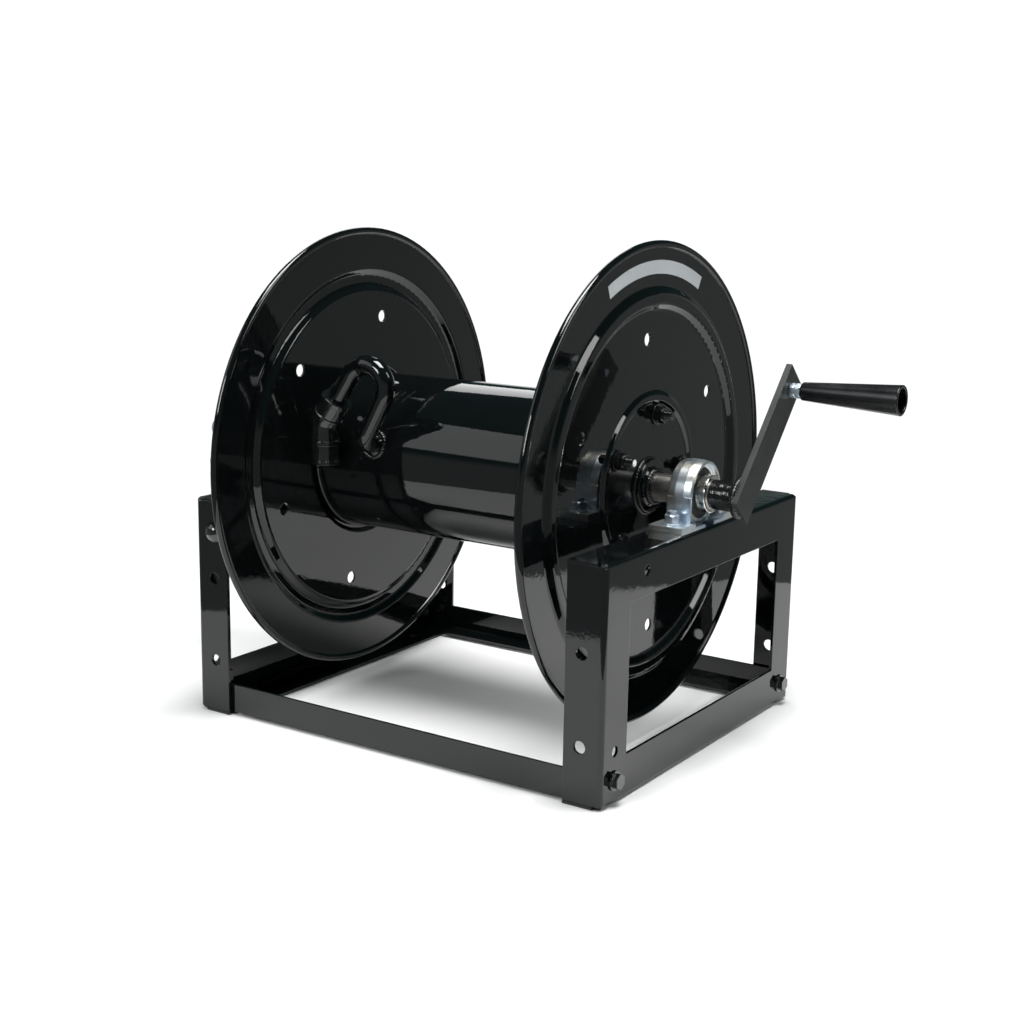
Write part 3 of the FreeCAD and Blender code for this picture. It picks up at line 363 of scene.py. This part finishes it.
def swept_ring(point_at, steps, sides):
    """A ring-shaped tube of bead sections; point_at(along, around) gives each vertex."""
    shape = bmesh.new()
    rows = [[shape.verts.new(point_at(step / steps, side / sides)) for side in range(sides)]
            for step in range(steps)]
    join_rows(shape, rows + rows[:1])
    return shape


WELD_SIDES = 12
STEPS_PER_RIPPLE = 6
FEWEST_RIPPLES = 12


def weld_ring(name, centre, axis, radius, bead, ripple=0.0035, lean=0.0, saddle=None):
    """A ring of weld metal round an axis, with the ripples of the torch's steps.

    bead is half the bead's width and ripple the length of one torch step. lean widens the ring along the
    axis, so that it fills a corner between two faces. saddle is the radius of the cylinder along X that the
    ring lies on, for a ring that isn't flat.
    """
    axis = Vector(axis).normalized()
    side_way = Vector((1, 0, 0)) if saddle else axis.orthogonal().normalized()
    up_way = axis.cross(side_way)
    ripples = max(FEWEST_RIPPLES, round(2 * math.pi * radius / ripple))

    def point_at(along, around):
        turn = 2 * math.pi * along
        outward = side_way * math.cos(turn) + up_way * math.sin(turn)
        spot = centre + outward * radius
        if saddle:
            spot += axis * (math.sqrt(saddle ** 2 - (radius * math.sin(turn)) ** 2) - saddle)
        wobble = noise.noise(spot * 130) * 0.16
        angle = 2 * math.pi * around
        crest = abs(math.sin(math.pi * ripples * along + 0.9 * math.cos(angle)))
        size = bead * (0.84 + 0.16 * crest + wobble)
        return spot + outward * (size * math.cos(angle)) + axis * (size * (1 + lean) * math.sin(angle))

    shape = swept_ring(point_at, ripples * STEPS_PER_RIPPLE, WELD_SIDES)
    new_piece(name, shape, WELD, "reel")


def weld_rings():
    """Every weld that shows: drum to discs, shaft to hubs, crank arm, and the gooseneck's foot."""
    axis = (1, 0, 0)
    for side, end, sign in (("left", DRUM_LOW.x, 1), ("right", DRUM_HIGH.x, -1)):
        centre = Vector((end + sign * 0.0014, 0, AXIS_HEIGHT))
        weld_ring(f"drum_weld_{side}", centre, axis, DRUM_RADIUS + 0.0006, 0.0022, 0.0045)
    for side, node, sign in (("left", "hub_plate_left", -1), ("right", "hub_plate_right", 1)):
        low, high = corners(node)
        face = high.x if sign > 0 else low.x
        centre = Vector((face - sign * 0.0022, 0, AXIS_HEIGHT))
        weld_ring(f"hub_weld_{side}", centre, axis, SHAFT_RADIUS + 0.0022, 0.0026, 0.003, 0.3)
        rim = Vector((face - sign * 0.0103, 0, AXIS_HEIGHT))
        weld_ring(f"hub_rim_weld_{side}", rim, axis, round_radius(node) + 0.0008, 0.0018)
    arm_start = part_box("crank_arm")[0][0]
    centre = Vector((arm_start + 0.0042, 0, AXIS_HEIGHT))
    weld_ring("crank_weld", centre, axis, SHAFT_RADIUS + 0.0030, 0.0038, 0.0032, 0.2)
    outward = Vector((0, math.cos(GOOSENECK_LEAN), math.sin(GOOSENECK_LEAN)))
    centre = Vector((GOOSENECK_STATION, 0, AXIS_HEIGHT)) + outward * (DRUM_RADIUS + 0.0010)
    weld_ring("gooseneck_weld", centre, outward, GOOSENECK_FOOT_RADIUS, 0.0026, saddle=DRUM_RADIUS)


def shaft_paint():
    """The thick black paint on the crank shaft, outside the bearing, with its runs and lumps."""
    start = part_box("bearing_inner_ring_right")[1][0] + 0.0010
    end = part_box("crank_arm")[0][0] + 0.0015
    steps, sides = 44, 96
    full_coat, thinnest = 0.00042, 0.00008
    run_length = 0.0021
    shape = bmesh.new()
    rows = []
    for step in range(steps + 1):
        x = start + (end - start) * step / steps
        thickness = full_coat * min(1.0, 0.25 + step / 4)
        row = []
        for side in range(sides):
            turn = 2 * math.pi * side / sides
            outward = Vector((0, math.cos(turn), math.sin(turn)))
            spot = Vector((x, 0, AXIS_HEIGHT)) + outward * SHAFT_RADIUS
            lump = 0.00020 * noise.noise(spot * 260) + 0.00010 * math.sin(2 * math.pi * x / run_length)
            row.append(shape.verts.new(spot + outward * max(thinnest, thickness + lump)))
        rows.append(row)
    join_rows(shape, rows)
    new_piece("shaft_paint", shape, WELD, "reel")


def decal():
    """A plain silver arc on the crank side's disc, with no letters and no symbol."""
    low_radius, high_radius = DISC_RADIUS - 0.0340, DISC_RADIUS - 0.0200
    half_angle = math.radians(25)
    steps = 60
    lift, depth = 0.00022, 0.00012
    section = ((low_radius, 0), (high_radius, 0), (high_radius, depth), (low_radius, depth))
    shape = bmesh.new()
    rows = []
    for index in range(steps + 1):
        turn = math.pi / 2 - half_angle + 2 * half_angle * index / steps
        row = []
        for radius, sunk in section:
            x = WEB_FACE + FLANGE_RISE + (radius - FLANGE_START) * FLANGE_SLOPE + lift - sunk
            row.append(shape.verts.new((x, radius * math.cos(turn), AXIS_HEIGHT + radius * math.sin(turn))))
        rows.append(row)
    join_rows(shape, rows)
    shape.faces.new(rows[0])
    shape.faces.new(rows[-1])
    piece = new_piece("decal_arc", shape, VINYL, "reel")
    for face in piece.data.polygons:
        face.use_smooth = False


weld_rings()
shaft_paint()
decal()


# ---------------------------------------------------------------- floor, light and camera

def plain(name, colour, roughness):
    """A plain stage material."""
    g = Graph(name)
    shade = tuple(channel * 0.97 for channel in colour)
    tone = g.mix(g.spread(g.noise(3, 3), 0.0, 0.3), colour, shade)
    return g.finish(tone, Roughness=roughness)


FLOOR_RADIUS = 0.80
FLOOR_PLACE = (0, 0.08, -0.0005)


def floor():
    """A plain white round floor, like a turntable in a studio."""
    shape = bmesh.new()
    bmesh.ops.create_circle(shape, cap_ends=True, segments=128, radius=FLOOR_RADIUS)
    mesh = bpy.data.meshes.new("floor")
    shape.to_mesh(mesh)
    shape.free()
    mesh.materials.append(plain("floor_paint", (0.92, 0.92, 0.91), 0.7))
    piece = bpy.data.objects.new("floor", mesh)
    piece.location = FLOOR_PLACE
    bpy.context.scene.collection.objects.link(piece)


def softbox(name, place, target, width, depth, watts):
    """A soft rectangular light that faces a point."""
    light = bpy.data.lights.new(name, "AREA")
    light.shape = "RECTANGLE"
    light.size = width
    light.size_y = depth
    light.energy = watts
    lamp = bpy.data.objects.new(name, light)
    lamp.location = place
    lamp.rotation_euler = (Vector(target) - Vector(place)).to_track_quat("-Z", "Y").to_euler()
    bpy.context.scene.collection.objects.link(lamp)


# The camera's heading; the studio's bright wall stands in this direction.
CAMERA_WAY = (-0.539, 0.817, -0.208)


def sky():
    """A studio: a bright wall behind the reel, greyer walls round it, and a dark ceiling."""
    world = bpy.data.worlds.new("studio")
    world.use_nodes = True
    nodes, links = world.node_tree.nodes, world.node_tree.links

    def ramp(source, levels):
        node = nodes.new("ShaderNodeValToRGB")
        for element, (position, colour) in zip(node.color_ramp.elements, levels):
            element.position = position
            element.color = (*colour, 1.0)
        links.new(source, node.inputs["Fac"])
        return node.outputs["Color"]

    def mix(factor, first, second):
        node = nodes.new("ShaderNodeMix")
        node.data_type = "RGBA"
        for index, item in ((MIX_FACTOR, factor), (MIX_FIRST, first), (MIX_SECOND, second)):
            links.new(item, node.inputs[index])
        return node.outputs[MIX_RESULT]

    place = nodes.new("ShaderNodeTexCoord").outputs["Generated"]
    towards = nodes.new("ShaderNodeVectorMath")
    towards.operation = "DOT_PRODUCT"
    towards.inputs[1].default_value = CAMERA_WAY
    links.new(place, towards.inputs[0])
    split = nodes.new("ShaderNodeSeparateXYZ")
    links.new(place, split.inputs["Vector"])
    walls = ramp(towards.outputs["Value"], [(0.76, (0.24, 0.25, 0.25)), (0.89, (1.05, 1.05, 1.05))])
    ceiling = ramp(split.outputs["Z"], [(0.0, (0.024, 0.060, 0.058)), (1.0, (0.012, 0.030, 0.030))])
    height = ramp(split.outputs["Z"], [(0.11, (0.0, 0.0, 0.0)), (0.20, (1.0, 1.0, 1.0))])
    links.new(mix(height, walls, ceiling), nodes["Background"].inputs["Color"])
    bpy.context.scene.world = world


# Metres, degrees of yaw, pitch and roll, and the lens and sensor in millimetres.
CAMERA_PLACE = (0.99125, -1.48195, 0.60156)
CAMERA_TURN = (33.42, 11.99, 0.96)
CAMERA_LENS = 57.47
CAMERA_SENSOR = 36.0


def camera():
    """The camera, looking at the reel from the front and the crank side."""
    yaw, pitch, roll = (math.radians(angle) for angle in CAMERA_TURN)
    forward = Vector((-math.sin(yaw) * math.cos(pitch), math.cos(yaw) * math.cos(pitch), -math.sin(pitch)))
    level = Vector((math.cos(yaw), math.sin(yaw), 0))
    upward = level.cross(forward)
    right = level * math.cos(roll) + upward * math.sin(roll)
    top = upward * math.cos(roll) - level * math.sin(roll)
    data = bpy.data.cameras.new("camera")
    data.sensor_width = CAMERA_SENSOR
    data.lens = CAMERA_LENS
    data.clip_start = 0.05
    eye = bpy.data.objects.new("camera", data)
    turn = Matrix((right, top, -forward)).transposed().to_4x4()
    eye.matrix_world = Matrix.Translation(CAMERA_PLACE) @ turn
    bpy.context.scene.collection.objects.link(eye)
    bpy.context.scene.camera = eye


bpy.context.scene.view_settings.view_transform = "Standard"
floor()
sky()
softbox("overhead", (0.3, -0.1, 2.6), (0, 0, 0.2), width=1.2, depth=1.2, watts=84)
softbox("front_left", (-2.3, -2.3, 2.2), (0, 0, 0.3), width=2.8, depth=2.0, watts=22)
softbox("front_key", (-0.4, -2.9, 1.7), (0, 0, 0.3), width=0.9, depth=0.9, watts=40)
softbox("back_left", (-1.9, 1.8, 2.0), (0, 0, 0.3), width=1.7, depth=1.1, watts=18)
softbox("right_side", (2.6, 0.6, 2.0), (0, 0, 0.3), width=0.8, depth=1.6, watts=26)
camera()

bpy.context.view_layer.update()
